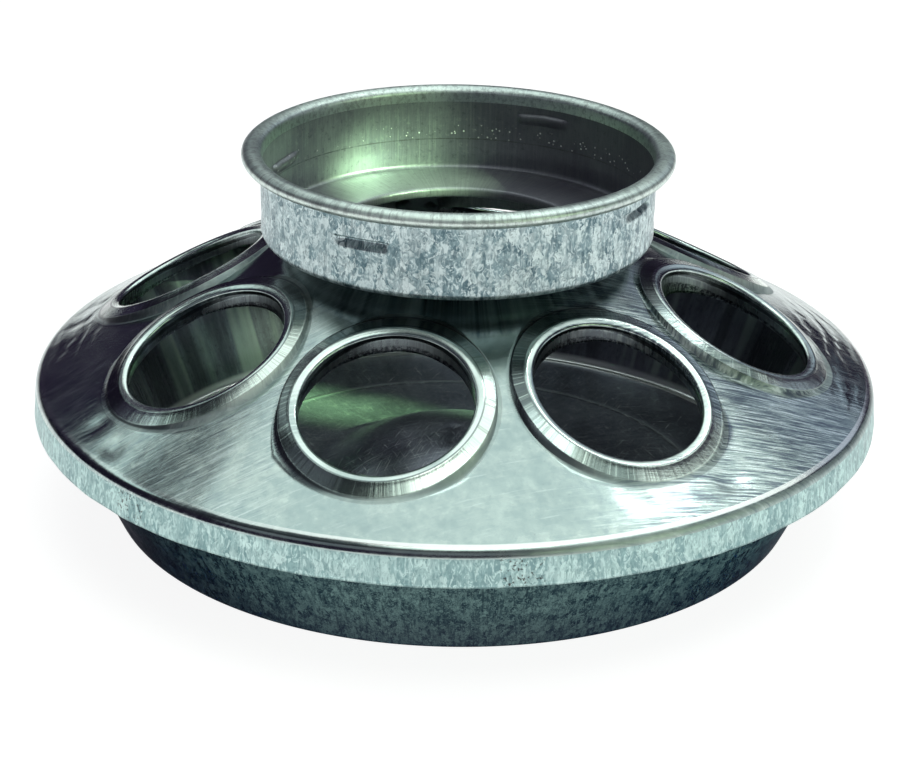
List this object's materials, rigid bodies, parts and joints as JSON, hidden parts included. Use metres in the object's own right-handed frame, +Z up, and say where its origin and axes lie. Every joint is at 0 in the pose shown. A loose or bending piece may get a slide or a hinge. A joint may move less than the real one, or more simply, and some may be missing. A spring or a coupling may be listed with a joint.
{
  "type": "chick feeder base",
  "caption": "Round galvanised sheet-steel feed pan with a lift-off conical cover, round feed holes and a screw collar that takes an upturned jar.",
  "frame": {"origin": "middle of the pan's underside, on the surface the feeder stands on", "axes": "+Z up along the feeder's axis; one feed hole faces -Y"},
  "size_m": [0.1596, 0.1596, 0.0692],
  "materials": {
    "pan_steel": "dull mottled galvanised",
    "cover_steel": "burnished galvanised with fine scratches",
    "collar_steel": "fine spangled galvanised"
  },
  "bodies": {
    "pan": {"base_pan": "pan_steel"},
    "cover": {"feed_cover": "cover_steel", "jar_collar": "collar_steel"}
  },
  "joints": [
    {"name": "cover_lift", "type": "slide", "parent": "pan", "child": "cover", "axis": [0, 0, 1], "range_m": [0, 0.08]}
  ]
}
